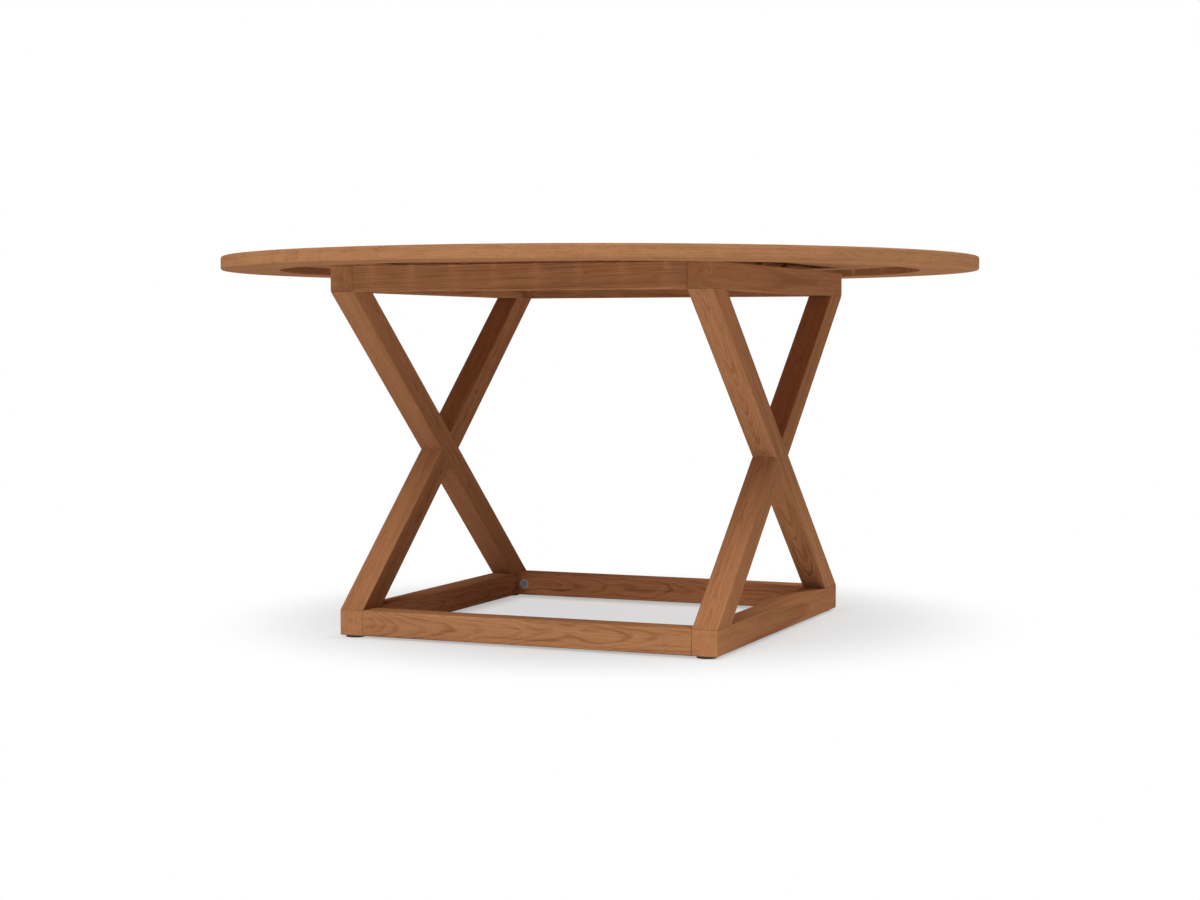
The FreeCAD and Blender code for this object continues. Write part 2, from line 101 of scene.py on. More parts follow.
class FittingFinish(bpy.types.PropertyGroup):
    """Colours of the hidden joinery, the metal fittings and the feet"""

    beech_colour: FloatVectorProperty(
        name="Beech", description="Pale wood of the dowels and splines",
        subtype="COLOR", size=3, min=0.0, max=1.0, default=(0.560, 0.370, 0.215))
    beech_late_colour: FloatVectorProperty(
        name="Beech rings", description="Darker rings of the dowels and splines",
        subtype="COLOR", size=3, min=0.0, max=1.0, default=(0.400, 0.240, 0.125))
    cast_zinc_colour: FloatVectorProperty(
        name="Cast zinc", description="Housings of the connectors",
        subtype="COLOR", size=3, min=0.0, max=1.0, default=(0.600, 0.620, 0.630))
    cam_colour: FloatVectorProperty(
        name="Cams", description="Turning cams of the connectors",
        subtype="COLOR", size=3, min=0.0, max=1.0, default=(0.280, 0.350, 0.410))
    plated_steel_colour: FloatVectorProperty(
        name="Plated steel", description="Screws, connector studs and foot studs",
        subtype="COLOR", size=3, min=0.0, max=1.0, default=(0.600, 0.615, 0.625))
    brass_colour: FloatVectorProperty(
        name="Brass", description="Threaded inserts of the feet",
        subtype="COLOR", size=3, min=0.0, max=1.0, default=(0.680, 0.470, 0.190))
    nylon_colour: FloatVectorProperty(
        name="Black nylon", description="Moulded pads of the feet",
        subtype="COLOR", size=3, min=0.0, max=1.0, default=(0.018, 0.017, 0.016))


class Studio(bpy.types.PropertyGroup):
    """Floor, lights and camera"""

    camera_place: FloatVectorProperty(
        name="Camera place", description="Where the camera stands",
        subtype="TRANSLATION", unit="LENGTH", size=3, default=(1.6569, -4.0117, 0.5903))
    camera_yaw: FloatProperty(
        name="Camera yaw", description="Turn of the camera to the left of straight ahead",
        subtype="ANGLE", default=0.39165)
    camera_pitch: FloatProperty(
        name="Camera pitch", description="Tilt of the camera above the horizon",
        subtype="ANGLE", default=-0.05382)
    lens: FloatProperty(
        name="Lens", description="Focal length in millimetres on a sensor 36 mm wide",
        min=1.0, max=300.0, default=63.61)
    key_level: FloatProperty(
        name="Key level", description="Strength of the softbox in front",
        min=0.0, max=50.0, default=6.1)
    key_turn: FloatProperty(
        name="Key turn", description="Place of the softbox in front, to the right of straight ahead",
        subtype="ANGLE", default=math.radians(-8.9))
    key_rise: FloatProperty(
        name="Key rise", description="Height of the softbox in front above the horizon",
        subtype="ANGLE", default=math.radians(41))
    key_spread: FloatProperty(
        name="Key spread", description="How far the softbox in front reaches from its middle",
        subtype="ANGLE", default=math.radians(29.2))
    side_level: FloatProperty(
        name="Side level", description="Strength of the softbox at the right rear",
        min=0.0, max=50.0, default=10.8)
    side_turn: FloatProperty(
        name="Side turn",
        description="Place of the softbox at the right rear, to the right of straight ahead",
        subtype="ANGLE", default=math.radians(122.5))
    side_rise: FloatProperty(
        name="Side rise", description="Height of the softbox at the right rear above the horizon",
        subtype="ANGLE", default=math.radians(55.5))
    side_spread: FloatProperty(
        name="Side spread", description="How far the softbox at the right rear reaches from its middle",
        subtype="ANGLE", default=math.radians(18.7))
    fill_level: FloatProperty(
        name="Fill level", description="Strength of the light from all round",
        min=0.0, max=5.0, default=0.05)
    floor_colour: FloatVectorProperty(
        name="Floor", description="Colour of the plain floor",
        subtype="COLOR", size=3, min=0.0, max=1.0, default=(0.920, 0.915, 0.910))
    # Painted shade: the white that the eye sees on the floor is dimmed under the table by this much
    painted_shade_depth: FloatProperty(
        name="Shade depth", description="How much darker the white floor is under the table",
        subtype="FACTOR", min=0.0, max=1.0, default=0.25)
    shadow_share: FloatProperty(
        name="Shadow share", description="How much of the cast shadow shows on the white floor",
        subtype="FACTOR", min=0.0, max=1.0, default=0.15)
    # The shade here is painted into the white of the floor, and the shadow is the cast one
    shadow_centre: FloatVectorProperty(
        name="Shadow centre", description="Middle of the shade and the shadow on the floor",
        subtype="TRANSLATION", unit="LENGTH", size=3, default=(0.0, 0.09, 0.0))
    shadow_inner: FloatProperty(
        name="Shadow inner radius", description="Shade and shadow are full this close to their middle",
        unit="LENGTH", min=0.0, max=5.0, default=0.43)
    shadow_outer: FloatProperty(
        name="Shadow outer radius", description="The floor is white from here on",
        unit="LENGTH", min=0.0, max=10.0, default=0.87)
    contact_reach: FloatProperty(
        name="Contact reach",
        description="How far the contact shadow of the bottom rails spreads past them",
        unit="LENGTH", min=0.0, max=0.5, default=0.045)
    contact_share: FloatProperty(
        name="Contact share",
        description="How much more of the cast shadow shows right under the bottom rails",
        subtype="FACTOR", min=0.0, max=1.0, default=0.30)
    floor_size: FloatProperty(
        name="Floor size", description="Width of the floor",
        unit="LENGTH", min=2.0, max=200.0, default=60.0)


# Short calls for node trees

class NodeDesk:
    """A node tree, with short calls that add a node and join it up."""

    def __init__(self, tree):
        self.tree = tree

    def add(self, kind, inputs=None, **settings):
        node = self.tree.nodes.new(kind)
        for name, value in settings.items():
            setattr(node, name, value)
        for name, value in (inputs or {}).items():
            self.feed(node.inputs[name], value)
        return node

    def feed(self, socket, value):
        if isinstance(value, bpy.types.NodeSocket):
            self.tree.links.new(value, socket)
        else:
            socket.default_value = value

    def add_in_order(self, kind, values, **settings):
        """A node whose sockets are fed one after the other."""
        node = self.add(kind, **settings)
        for socket, value in zip(node.inputs, values):
            self.feed(socket, value)
        return node

    def maths(self, operation, *values, clamp=False):
        return self.add_in_order("ShaderNodeMath", values, operation=operation, use_clamp=clamp).outputs[0]

    def vector(self, operation, *values):
        node = self.add_in_order("ShaderNodeVectorMath", values, operation=operation)
        return node.outputs["Value" if operation in ("LENGTH", "DOT_PRODUCT") else "Vector"]

    def scaled(self, vector, scale):
        node = self.add("ShaderNodeVectorMath", {"Scale": scale}, operation="SCALE")
        self.feed(node.inputs[0], vector)
        return node.outputs["Vector"]

    def noise(self, place, stretch, detail=2.0, roughness=0.5):
        """Noise with its own number of swells a metre along each axis."""
        stretched = self.vector("MULTIPLY", place, stretch)
        inputs = {"Vector": stretched, "Scale": 1.0, "Detail": detail, "Roughness": roughness}
        return self.add("ShaderNodeTexNoise", inputs)

    def spread(self, value, low, high, new_low=0.0, new_high=1.0, easing="LINEAR"):
        """A value taken from one range to another, and kept inside it."""
        inputs = {"Value": value, "From Min": low, "From Max": high, "To Min": new_low, "To Max": new_high}
        return self.add("ShaderNodeMapRange", inputs, interpolation_type=easing).outputs["Result"]

    def ease(self, value, low, high, new_low=0.0, new_high=1.0):
        """The same with soft ends."""
        return self.spread(value, low, high, new_low, new_high, easing="SMOOTHSTEP")

    def mix(self, share, first, second):
        """A colour between two others."""
        node = self.add("ShaderNodeMix", {"Factor": share}, data_type="RGBA")
        ends = [socket for socket in node.inputs if socket.type == "RGBA"]
        self.feed(ends[0], first)
        self.feed(ends[1], second)
        return next(socket for socket in node.outputs if socket.type == "RGBA")

    def mix_shaders(self, share, first, second):
        """A surface between two others."""
        return self.add_in_order("ShaderNodeMixShader", (share, first, second)).outputs[0]


def opaque(colour):
    """A colour with the alpha that a socket asks for."""
    return (*colour, 1.0)


def grey(level):
    """An opaque grey."""
    return opaque((level,) * 3)


def cleared_desk(owner):
    """The emptied node tree of a material or a world."""
    owner.use_nodes = True
    owner.node_tree.nodes.clear()
    return NodeDesk(owner.node_tree)


def new_material(name):
    """An empty node material with its desk and its surface shader."""
    material = bpy.data.materials.new(name)
    desk = cleared_desk(material)
    shader = desk.add("ShaderNodeBsdfPrincipled")
    desk.add("ShaderNodeOutputMaterial", {"Surface": shader.outputs[0]})
    return material, desk, shader


def join_surface(desk, shader, colour, roughness, height, bump_strength, relief):
    """Join a colour, a roughness and a relief to a surface shader."""
    bump = desk.add("ShaderNodeBump", {"Strength": bump_strength, "Distance": relief, "Height": height})
    desk.feed(shader.inputs["Base Color"], colour)
    desk.feed(shader.inputs["Roughness"], roughness)
    desk.feed(shader.inputs["Normal"], bump.outputs["Normal"])


def dress(name, material):
    """Give a node of the frame its finish."""
    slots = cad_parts[name].material_slots
    if not slots:
        raise RuntimeError(name + " has no material slot")
    for slot in slots:
        slot.material = material


def middle(name):
    """Middle of the box round a piece."""
    low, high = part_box(name)
    return (low + high) / 2


# Wood

# Names of the pieces of the round top begin with these
TOP_PIECES = ("rim_segment_", "slat_")

# Sockets of the grain's node group
GRAIN_INPUTS = {
    "Place": "Vector",
    "Early wood": "Color",
    "Late wood": "Color",
    "Pores": "Color",
    "Ring spacing": "Float",
    "Wander": "Float",
    "Tone": "Float",
    "Figure": "Float",
}
GRAIN_OUTPUTS = {"Color": "Color", "Roughness": "Float", "Height": "Float"}

# Noises of the grain, with their swells a metre along the board and both ways across it
LONG_SWELLS = {"stretch": (2.0, 5.0, 5.0), "detail": 1.0}
SHORT_SWELLS = {"stretch": (8.0, 15.0, 15.0), "detail": 1.0}
JITTER = {"stretch": (14.0, 150.0, 150.0), "detail": 1.0}
FIBRES = {"stretch": (11.0, 420.0, 420.0), "detail": 3.0, "roughness": 0.6}
STREAKS = {"stretch": (7.0, 190.0, 190.0)}
BANDS = {"stretch": (1.2, 55.0, 55.0)}
CLOUDS = {"stretch": (2.2, 9.0, 9.0), "detail": 1.0}
PORES = {"stretch": (42.0, 1500.0, 1500.0), "detail": 1.0}
NOISE_MEAN = 0.5
STREAK_LEVELS = (0.52, 0.74)
PORE_LEVELS = (0.60, 0.72)

# Noises that the rings stray by, with their shares of the wander
STRAY_SHARES = ((LONG_SWELLS, 1.0), (SHORT_SWELLS, 0.36), (JITTER, 0.05))

# Darkness across one growth ring, by the share of its width, and its mean
RING_PROFILE = ((0.48, 0.14), (0.80, 1.0), (0.90, 0.80))
RING_MEAN = 0.26
FAINTEST_RING = 0.30

# Darkness of plain wood, and how much each pattern adds to it
PLAIN_DARKNESS = 0.32
RING_DEPTH = 0.62
STREAK_DEPTH = 0.34
STREAK_BALANCE = -0.04
FIBRE_DEPTH = 0.80
BAND_DEPTH = 0.85
CLOUD_DEPTH = 0.45
PORE_DEPTH = 0.45

# Roughness and relief of the oiled surface
TEXTURE_LEVELS = (0.2, 1.4)
WOOD_ROUGHNESS = (0.72, 0.90)
FIBRE_HEIGHT_SHARE = 0.6
WOOD_BUMP = 0.35

# Metres along the tree from one board to the next
BOARD_SPACING = 1.37


def grain_group():
    """Growth rings round a pith along X, with streaks, bands and pores."""
    known = bpy.data.node_groups.get("hardwood_grain")
    if known:
        return known
    tree = bpy.data.node_groups.new("hardwood_grain", "ShaderNodeTree")
    for name, kind in GRAIN_INPUTS.items():
        tree.interface.new_socket(name, in_out="INPUT", socket_type="NodeSocket" + kind)
    for name, kind in GRAIN_OUTPUTS.items():
        tree.interface.new_socket(name, in_out="OUTPUT", socket_type="NodeSocket" + kind)
    desk = NodeDesk(tree)
    source = desk.add("NodeGroupInput").outputs
    place = source["Place"]

    late = late_wood(desk, place, source["Wander"], source["Ring spacing"])
    fibre = desk.noise(place, **FIBRES).outputs["Fac"]
    streak = desk.spread(desk.noise(place, **STREAKS).outputs["Fac"], *STREAK_LEVELS)
    band = desk.noise(place, **BANDS).outputs["Fac"]
    cloud = desk.noise(place, **CLOUDS).outputs["Fac"]
    pore = desk.spread(desk.noise(place, **PORES).outputs["Fac"], *PORE_LEVELS)

    figure = desk.maths("MULTIPLY_ADD", desk.maths("SUBTRACT", late, RING_MEAN), RING_DEPTH, STREAK_BALANCE)
    figure = desk.maths("MULTIPLY_ADD", streak, STREAK_DEPTH, figure)
    for value, depth in ((fibre, FIBRE_DEPTH), (band, BAND_DEPTH), (cloud, CLOUD_DEPTH)):
        figure = desk.maths("MULTIPLY_ADD", desk.maths("SUBTRACT", value, NOISE_MEAN), depth, figure)
    plain = desk.maths("ADD", source["Tone"], PLAIN_DARKNESS)
    dark = desk.maths("MULTIPLY_ADD", figure, source["Figure"], plain, clamp=True)
    colour = desk.mix(dark, source["Early wood"], source["Late wood"])
    colour = desk.mix(desk.maths("MULTIPLY", pore, PORE_DEPTH), colour, source["Pores"])
    roughness = desk.spread(desk.maths("ADD", fibre, pore), *TEXTURE_LEVELS, *WOOD_ROUGHNESS)
    height = desk.maths("SUBTRACT", desk.maths("MULTIPLY", fibre, FIBRE_HEIGHT_SHARE), pore)
    desk.add("NodeGroupOutput", {"Color": colour, "Roughness": roughness, "Height": height})
    return tree


def late_wood(desk, place, wander, ring_spacing):
    """Darkness of the growth rings, which stray along the board and differ in strength."""
    strayed = place
    for swells, share in STRAY_SHARES:
        swell = desk.noise(place, **swells).outputs["Color"]
        swell = desk.vector("SUBTRACT", swell, (NOISE_MEAN,) * 3)
        reach = desk.maths("MULTIPLY", wander, share)
        strayed = desk.vector("ADD", strayed, desk.scaled(swell, reach))
    radius = desk.vector("LENGTH", desk.vector("MULTIPLY", strayed, Y_AXIS + Z_AXIS))
    phase = desk.maths("DIVIDE", radius, ring_spacing)
    ring_number = {"W": desk.maths("FLOOR", phase)}
    strength = desk.add("ShaderNodeTexWhiteNoise", ring_number, noise_dimensions="1D").outputs["Value"]
    strength = desk.spread(strength, 0.0, 1.0, FAINTEST_RING, 1.0)
    ring = desk.add("ShaderNodeValToRGB", {"Fac": desk.maths("FRACT", phase)})
    shade_ring(ring.color_ramp)
    return desk.maths("MULTIPLY", ring.outputs["Color"], strength)


def shade_ring(ramp):
    """One growth ring: pale early wood that darkens late and ends sharply."""
    ramp.interpolation = "EASE"
    for end in ramp.elements:
        end.color = opaque(BLACK)
    for position, level in RING_PROFILE:
        ramp.elements.new(position).color = grey(level)


def board_turn(grain, pith, tilt):
    """Rotation that turns a board's grain to X and the pith's side of it to Z, a little aslope."""
    along = grain.normalized()
    up = (pith - along * pith.dot(along)).normalized()
    return Euler((0.0, tilt, 0.0)).to_matrix() @ Matrix((along, up.cross(along), up))


class Board:
    """How a piece was cut from its tree.

    Tone and figure are the board's own. Redness is a painted shade hue: redder on a board that sits in
    shade and yellower on a lit one. The shares scale the settings of the wood, and a depth takes the place
    of its pith distance.
    """

    count = 0

    def __init__(self, grain, pith, centre, tone=0.0, figure=1.0, tilt_share=1.0, wander_share=1.0,
                 ring_share=1.0, depth=None, painted_shade_redness=0.0):
        Board.count += 1
        self.grain = grain
        self.pith = pith
        self.centre = centre
        self.tone = tone
        self.figure = figure
        self.tilt_share = tilt_share
        self.wander_share = wander_share
        self.ring_share = ring_share
        self.depth = depth
        self.painted_shade_redness = painted_shade_redness
        self.shift = Board.count * BOARD_SPACING


def tinted(colour, painted_shade_redness):
    """A board's colours with a painted shade hue: redder above 0, as in shade, and yellower below, as in
    light.
    """
    red, green, blue = colour
    return red * (1.0 + painted_shade_redness), green * (1.0 - painted_shade_redness / 2), blue * (1.0 - painted_shade_redness / 2)


def wood_material(name, board, settings, early, late):
    """Oiled wood whose grain follows the board that a piece was cut from."""
    material, desk, shader = new_material(name)
    turn = board_turn(board.grain, board.pith, settings.pith_tilt * board.tilt_share)
    depth = settings.pith_distance if board.depth is None else board.depth
    offset = Vector((board.shift, 0.0, -depth)) - turn @ board.centre
    mapping = desk.add("ShaderNodeMapping", {
        "Vector": desk.add("ShaderNodeTexCoord").outputs["Object"],
        "Location": offset, "Rotation": turn.to_euler("XYZ")})
    grain = desk.add("ShaderNodeGroup", node_tree=grain_group())
    inputs = {
        "Place": mapping.outputs["Vector"],
        "Early wood": opaque(tinted(early, board.painted_shade_redness)),
        "Late wood": opaque(tinted(late, board.painted_shade_redness)),
        "Pores": opaque(settings.pore_colour),
        "Ring spacing": settings.ring_spacing * board.ring_share,
        "Wander": settings.wander * board.wander_share,
        "Tone": board.tone,
        "Figure": board.figure,
    }
    for socket, value in inputs.items():
        desk.feed(grain.inputs[socket], value)
    looks = grain.outputs
    join_surface(
        desk, shader, looks["Color"], looks["Roughness"], looks["Height"], WOOD_BUMP, settings.relief)
    shader.inputs["Specular IOR Level"].default_value = settings.gloss
    return material


def dress_board(name, grain, pith, settings, **cut):
    """Give a piece its own board, in the colours of the top or of the base."""
    if name.startswith(TOP_PIECES):
        early, late = settings.early_colour, settings.late_colour
    else:
        early, late = settings.base_early_colour, settings.base_late_colour
    board = Board(grain, pith, middle(name), **cut)
    dress(name, wood_material(name + "_wood", board, settings, early, late))


def dress_beech(name, material_name, scene):
    """Give hidden joinery pale beech."""
    board = Board(X_AXIS, Z_AXIS, middle(name))
    early, late = scene.table_fittings.beech_colour, scene.table_fittings.beech_late_colour
    dress(name, wood_material(material_name, board, scene.table_wood, early, late))


# Metal and plastic

# Finishes of metal: roughness of the bright and the dull patches, patches a metre, and depth of the grain
PLATED = {"bright": 0.26, "dull": 0.40, "patches": 260.0, "relief": 0.00002}
CAST = {"bright": 0.38, "dull": 0.55, "patches": 420.0, "relief": 0.00004}
ROUGH_CAST = {"bright": 0.42, "dull": 0.60, "patches": 420.0, "relief": 0.00004}
TURNED = {"bright": 0.24, "dull": 0.38, "patches": 300.0, "relief": 0.00002}
PATCH_LEVELS = (0.3, 0.7)
DULL_SHADE = 0.78
GRAIN_FINENESS = 9
METAL_BUMP = 0.5

# Moulded nylon, with pebbles of its texture and scuffed patches that are paler and rougher
PEBBLES = {"stretch": (2600.0,) * 3}
SCUFFS = {"stretch": (160.0,) * 3, "detail": 3.0, "roughness": 0.6}
SCUFF_PALENESS = 2.2
PALE_LEVELS = (0.5, 0.8)
ROUGH_LEVELS = (0.3, 0.8)
NYLON_ROUGHNESS = (0.42, 0.62)
NYLON_BUMP = 0.4
NYLON_RELIEF = 0.00006


def metal_material(name, colour, bright, dull, patches, relief):
    """Bare metal with cloudy gloss and a faint grain of its own."""
    material, desk, shader = new_material(name)
    place = desk.add("ShaderNodeTexCoord").outputs["Object"]
    cloud = desk.noise(place, (patches,) * 3, detail=4.0, roughness=0.6).outputs["Fac"]
    grain = desk.noise(place, (patches * GRAIN_FINENESS,) * 3).outputs["Fac"]
    darker = [channel * DULL_SHADE for channel in colour]
    tone = desk.mix(desk.spread(cloud, *PATCH_LEVELS), opaque(darker), opaque(colour))
    roughness = desk.spread(cloud, *PATCH_LEVELS, dull, bright)
    join_surface(desk, shader, tone, roughness, grain, METAL_BUMP, relief)
    shader.inputs["Metallic"].default_value = 1.0
    return material


def nylon_material(name, colour):
    """Moulded black plastic with a fine spark-eroded texture and scuffed patches."""
    material, desk, shader = new_material(name)
    place = desk.add("ShaderNodeTexCoord").outputs["Object"]
    pebble = desk.noise(place, **PEBBLES).outputs["Fac"]
    scuff = desk.noise(place, **SCUFFS).outputs["Fac"]
    paler = [channel * SCUFF_PALENESS for channel in colour]
    tone = desk.mix(desk.spread(scuff, *PALE_LEVELS), opaque(colour), opaque(paler))
    roughness = desk.spread(scuff, *ROUGH_LEVELS, *NYLON_ROUGHNESS)
    join_surface(desk, shader, tone, roughness, pebble, NYLON_BUMP, NYLON_RELIEF)
    return material


# How boards differ from a plain one

RIM_CUT = {"figure": 0.75, "tilt_share": 0.0, "wander_share": 0.15, "depth": 3.0}

# Slats differ in tone by up to this much, along a wave that each slat takes a step further
SLAT_TONE = 0.06
SLAT_TONE_STEP = 2.4

# Cross members, with the side that the pith lies on
CROSS_MEMBER_CUTS = {
    "front_apron": (Z_AXIS, {"wander_share": 0.5}),
    "rear_apron": (-Z_AXIS, {"wander_share": 0.5}),
    # Painted shade hue: the lit front rail is a little yellower, and the rear rail in shade a little redder
    "front_bottom_rail": (Y_AXIS, {"tone": 0.03, "figure": 0.85, "ring_share": 0.6, "painted_shade_redness": -0.03}),
    "rear_bottom_rail": (Y_AXIS, {"tone": -0.10, "figure": 1.3, "ring_share": 0.6, "painted_shade_redness": 0.05}),
}

# Legs, by their side and the end that their top is at
LEG_CUTS = {
    ("left", "front"): {"tone": -0.10, "figure": 0.6, "ring_share": 0.7},
    ("left", "rear"): {"tone": 0.06, "figure": 0.8, "ring_share": 0.7},
    ("right", "front"): {"tone": -0.02, "tilt_share": 0.3, "ring_share": 0.7},
    ("right", "rear"): {"tone": 0.03, "figure": 0.6, "tilt_share": 0.6, "ring_share": 0.7},
}

LEFT_RAIL_CUT = {"tone": -0.06, "ring_share": 0.7, "depth": 0.09}
RIGHT_RAIL_CUT = {
    "tone": 0.06, "figure": 0.7, "tilt_share": 0.3, "wander_share": 0.12, "ring_share": 1.5, "depth": 0.16,
}


# Operators, one for each group of like pieces

class FinishRim(bpy.types.Operator):
    """Give each curved segment of the rim its own board, and the splines pale beech"""

    bl_idname = "slatted_table.finish_rim"
    bl_label = "Finish the rim"

    def execute(self, context):
        wood = context.scene.table_wood
        names = sorted(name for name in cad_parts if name.startswith("rim_segment_"))
        for name in names:
            radial = middle(name)
            radial.z = 0.0
            grain = Z_AXIS.cross(radial)
            dress_board(name, grain, -Z_AXIS, wood, **RIM_CUT)
        dress_beech("rim_splines", "spline_beech", context.scene)
        return {"FINISHED"}


class FinishSlats(bpy.types.Operator):
    """Give each slat of the top its own board"""

    bl_idname = "slatted_table.finish_slats"
    bl_label = "Finish the slats"

    def execute(self, context):
        wood = context.scene.table_wood
        names = sorted(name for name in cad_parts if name.startswith("slat_"))
        for number, name in enumerate(names):
            pith = Z_AXIS if number % 2 else -Z_AXIS
            tone = SLAT_TONE * math.sin(SLAT_TONE_STEP * number)
            dress_board(name, Y_AXIS, pith, wood, tone=tone)
        return {"FINISHED"}


class FinishBattens(bpy.types.Operator):
    """Finish the battens under the slats and their screws"""

    bl_idname = "slatted_table.finish_battens"
    bl_label = "Finish the battens"

    def execute(self, context):
        for name in ("front_batten", "middle_batten", "rear_batten"):
            dress_board(name, X_AXIS, Z_AXIS, context.scene.table_wood)
        colour = context.scene.table_fittings.plated_steel_colour
        dress("batten_screws", metal_material("screw_steel", colour, **PLATED))
        return {"FINISHED"}


class FinishCrossMembers(bpy.types.Operator):
    """Finish the aprons and the bottom rails between the side frames"""

    bl_idname = "slatted_table.finish_cross_members"
    bl_label = "Finish the cross members"

    def execute(self, context):
        wood = context.scene.table_wood
        for name, (pith, cut) in CROSS_MEMBER_CUTS.items():
            dress_board(name, X_AXIS, pith, wood, **cut)
        return {"FINISHED"}


class FinishLegs(bpy.types.Operator):
    """Finish the crossed legs with the grain along their slope"""

    bl_idname = "slatted_table.finish_legs"
    bl_label = "Finish the legs"

    def execute(self, context):
        wood = context.scene.table_wood
        for (side, end), cut in LEG_CUTS.items():
            name = "%s_leg_top_%s" % (side, end)
            grain = leg_slope(name)
            pith = X_AXIS if side == "left" else grain.cross(X_AXIS)
            dress_board(name, grain, pith, wood, **cut)
        return {"FINISHED"}


# Share of a leg's height that counts as its top or its foot
LEG_END_SHARE = 0.06


def leg_slope(name):
    """Direction of a leg, from the places of its top and its foot."""
    vertices = [vertex.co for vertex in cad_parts[name].data.vertices]
    low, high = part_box(name)
    height = high.z - low.z
    top = [co.y for co in vertices if co.z > high.z - LEG_END_SHARE * height]
    foot = [co.y for co in vertices if co.z < low.z + LEG_END_SHARE * height]
    run = sum(foot) / len(foot) - sum(top) / len(top)
    return Vector((0.0, run, -height)).normalized()


class FinishSideRails(bpy.types.Operator):
    """Finish the top and bottom rails of the side frames"""

    bl_idname = "slatted_table.finish_side_rails"
    bl_label = "Finish the side rails"

    def execute(self, context):
        wood = context.scene.table_wood
        for level in ("top", "bottom"):
            dress_board("left_%s_rail" % level, Y_AXIS, X_AXIS, wood, **LEFT_RAIL_CUT)
            dress_board("right_%s_rail" % level, Y_AXIS, -X_AXIS, wood, **RIGHT_RAIL_CUT)
        return {"FINISHED"}


class FinishConnectors(bpy.types.Operator):
    """Finish the knock-down connectors and the dowels beside them"""

    bl_idname = "slatted_table.finish_connectors"
    bl_label = "Finish the connectors"

    def execute(self, context):
        fittings = context.scene.table_fittings
        housing_zinc = metal_material("cast_zinc", fittings.cast_zinc_colour, **CAST)
        cam_zinc = metal_material("cam_zinc", fittings.cam_colour, **ROUGH_CAST)
        steel = metal_material("connector_steel", fittings.plated_steel_colour, **PLATED)
        dress("connector_housings", housing_zinc)
        dress("connector_studs", steel)
        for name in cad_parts:
            if name.endswith("_cam"):
                dress(name, cam_zinc)
        dress_beech("alignment_dowels", "dowel_beech", context.scene)
        return {"FINISHED"}


class FinishFeet(bpy.types.Operator):
    """Finish the pads, studs and inserts of the levelling feet"""

    bl_idname = "slatted_table.finish_feet"
    bl_label = "Finish the feet"

    def execute(self, context):
        fittings = context.scene.table_fittings
        nylon = nylon_material("black_nylon_pad", fittings.nylon_colour)
        steel = metal_material("foot_stud_steel", fittings.plated_steel_colour, **PLATED)
        brass = metal_material("insert_brass", fittings.brass_colour, **TURNED)
        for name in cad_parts:
            if name.endswith("_foot_pad"):
                dress(name, nylon)
            if name.endswith("_foot_stud"):
                dress(name, steel)
        dress("foot_inserts", brass)
        return {"FINISHED"}


# Stage

# Share of half a bottom rail's width within which its contact shadow is full
CONTACT_CORE = 0.6

# Share of a softbox's spread within which it is at full strength
SOFTBOX_CORE = 0.25


class BuildStage(bpy.types.Operator):
    """Set up the pale floor, the soft light and the camera"""

    bl_idname = "slatted_table.build_stage"
    bl_label = "Build the stage"

    def execute(self, context):
        studio = context.scene.table_studio
        add_floor(studio)
        light_world(context.scene, studio)
        add_camera(context.scene, studio)
        context.scene.view_settings.view_transform = "Standard"
        return {"FINISHED"}


def background_share(desk):
    """1 where the eye, a mirror or glass looks at the background, 0 where it only gives light."""
    path = desk.add("ShaderNodeLightPath").outputs
    seen = desk.maths("MAXIMUM", path["Is Camera Ray"], path["Is Glossy Ray"])
    return desk.maths("MAXIMUM", seen, path["Is Transmission Ray"])


def add_floor(studio):
    """A wide plane at the foot of the table."""
    bpy.ops.object.select_all(action="DESELECT")
    bpy.ops.mesh.primitive_plane_add(size=studio.floor_size, location=(0.0, 0.0, cad_box[0].z))
    floor = bpy.context.object
    floor.name = "floor"
    floor.data.materials.append(floor_material(studio))


def floor_material(studio):
    """White to the eye with a painted soft shade under the table, and matt to the light."""
    material = bpy.data.materials.new("pale_floor")
    desk = cleared_desk(material)
    matt = desk.add("ShaderNodeBsdfDiffuse", {"Color": opaque(studio.floor_colour)}).outputs[0]
    geometry = desk.add("ShaderNodeNewGeometry").outputs
    flat = desk.vector("MULTIPLY", geometry["Position"], X_AXIS + Y_AXIS)
    under = under_table(desk, flat, studio)
    # Painted shade: the white emission is dimmed under the table
    level = desk.maths("MULTIPLY_ADD", under, -studio.painted_shade_depth, 1.0)
    white = desk.add("ShaderNodeEmission", {"Color": opaque(WHITE), "Strength": level}).outputs[0]
    whiteness = desk.maths("MULTIPLY_ADD", under, -studio.shadow_share, 1.0)
    whiteness = desk.maths("MULTIPLY", whiteness, clear_of_rails(desk, flat, studio))
    pale = desk.mix_shaders(whiteness, matt, white)
    surface = desk.mix_shaders(background_share(desk), matt, pale)

    # Clear from below, so that the underside of the table shows
    clear = desk.add("ShaderNodeBsdfTransparent").outputs[0]
    surface = desk.mix_shaders(geometry["Backfacing"], surface, clear)
    desk.add("ShaderNodeOutputMaterial", {"Surface": surface})
    return material


# Mask of the painted shade, and of the share of cast shadow
def under_table(desk, place, studio):
    """1 under the table, and 0 out on the open floor."""
    distance = desk.vector("LENGTH", desk.vector("SUBTRACT", place, studio.shadow_centre))
    return desk.ease(distance, studio.shadow_inner, studio.shadow_outer, 1.0, 0.0)


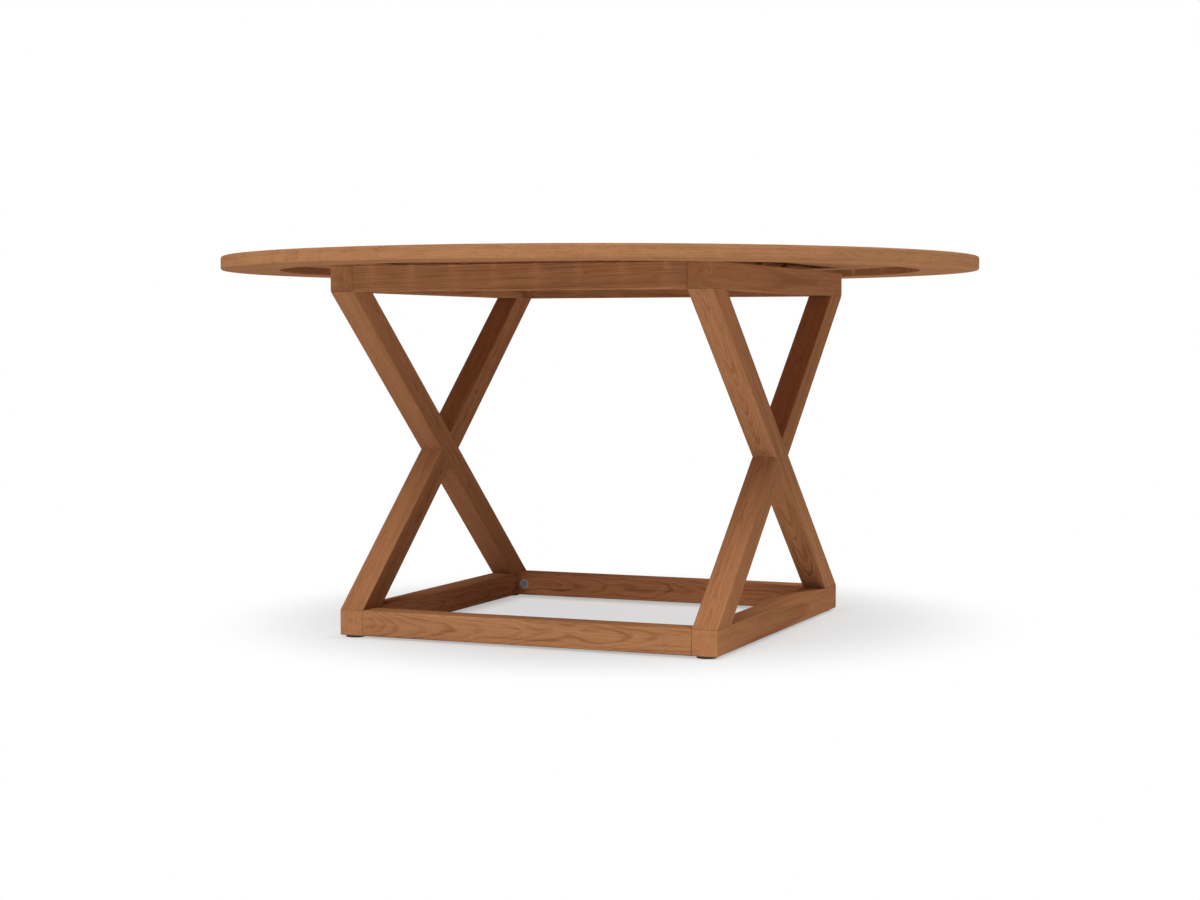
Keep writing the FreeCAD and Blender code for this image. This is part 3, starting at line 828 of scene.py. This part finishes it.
def clear_of_rails(desk, place, studio):
    """1 away from the bottom rails, and less right under them."""
    low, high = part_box("front_bottom_rail")
    half_rail = (high.y - low.y) / 2
    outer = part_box("right_bottom_rail")[1]
    middle_line = (outer.x - half_rail, outer.y - half_rail, 0.0)
    from_rail = desk.vector("SUBTRACT", desk.vector("ABSOLUTE", place), middle_line)
    parts = desk.add("ShaderNodeSeparateXYZ", {"Vector": from_rail}).outputs
    gap = desk.maths("ABSOLUTE", desk.maths("MAXIMUM", parts["X"], parts["Y"]))
    reach = half_rail + studio.contact_reach
    return desk.ease(gap, half_rail * CONTACT_CORE, reach, 1.0 - studio.contact_share, 1.0)


def softbox(desk, towards, turn, rise, spread, level):
    """Light from a round patch of the studio that fades towards its edge."""
    place = (math.cos(rise) * math.sin(turn), -math.cos(rise) * math.cos(turn), math.sin(rise))
    nearness = desk.vector("DOT_PRODUCT", towards, place)
    return desk.ease(nearness, math.cos(spread), math.cos(spread * SOFTBOX_CORE), 0.0, level)


def light_world(scene, studio):
    """Two softboxes on a faint fill, and plain white where the background is seen."""
    world = bpy.data.worlds.new("pale_studio")
    desk = cleared_desk(world)
    towards = desk.add("ShaderNodeTexCoord").outputs["Generated"]
    key = softbox(desk, towards, studio.key_turn, studio.key_rise, studio.key_spread, studio.key_level)
    side = softbox(desk, towards, studio.side_turn, studio.side_rise, studio.side_spread, studio.side_level)
    level = desk.maths("ADD", desk.maths("ADD", key, side), studio.fill_level)
    light = desk.add("ShaderNodeBackground", {"Color": opaque(WHITE), "Strength": level})
    white = desk.add("ShaderNodeBackground", {"Color": opaque(WHITE), "Strength": 1.0})
    surface = desk.mix_shaders(background_share(desk), light.outputs[0], white.outputs[0])
    desk.add("ShaderNodeOutputWorld", {"Surface": surface})
    scene.world = world


def add_camera(scene, studio):
    """A camera that sees the table as the photograph does."""
    bpy.ops.object.select_all(action="DESELECT")
    bpy.ops.object.camera_add(
        location=studio.camera_place,
        rotation=(math.pi / 2 + studio.camera_pitch, 0.0, studio.camera_yaw))
    camera = bpy.context.object
    camera.name = "camera"
    camera.data.sensor_width = SENSOR_WIDTH
    camera.data.lens = studio.lens
    scene.camera = camera


# Panel and start

OPERATORS = (
    FinishRim,
    FinishSlats,
    FinishBattens,
    FinishCrossMembers,
    FinishLegs,
    FinishSideRails,
    FinishConnectors,
    FinishFeet,
    BuildStage,
)


class TablePanel(bpy.types.Panel):
    """Settings and steps of the table"""

    bl_idname = "VIEW3D_PT_slatted_table"
    bl_label = "Round slatted table"
    bl_space_type = "VIEW_3D"
    bl_region_type = "UI"
    bl_category = "Table"

    def draw(self, context):
        scene = context.scene
        for settings in (scene.table_wood, scene.table_fittings, scene.table_studio):
            box = self.layout.box()
            for name in settings.__annotations__:
                box.prop(settings, name)
        for operator in OPERATORS:
            self.layout.operator(operator.bl_idname)


CLASSES = (WoodFinish, FittingFinish, Studio, *OPERATORS, TablePanel)


def register():
    for item in CLASSES:
        bpy.utils.register_class(item)
    bpy.types.Scene.table_wood = PointerProperty(type=WoodFinish)
    bpy.types.Scene.table_fittings = PointerProperty(type=FittingFinish)
    bpy.types.Scene.table_studio = PointerProperty(type=Studio)


def unregister():
    del bpy.types.Scene.table_studio
    del bpy.types.Scene.table_fittings
    del bpy.types.Scene.table_wood
    for item in reversed(CLASSES):
        bpy.utils.unregister_class(item)


def main():
    register()
    steps = bpy.ops.slatted_table
    steps.finish_rim()
    steps.finish_slats()
    steps.finish_battens()
    steps.finish_cross_members()
    steps.finish_legs()
    steps.finish_side_rails()
    steps.finish_connectors()
    steps.finish_feet()
    steps.build_stage()


if __name__ == "__main__":
    main()
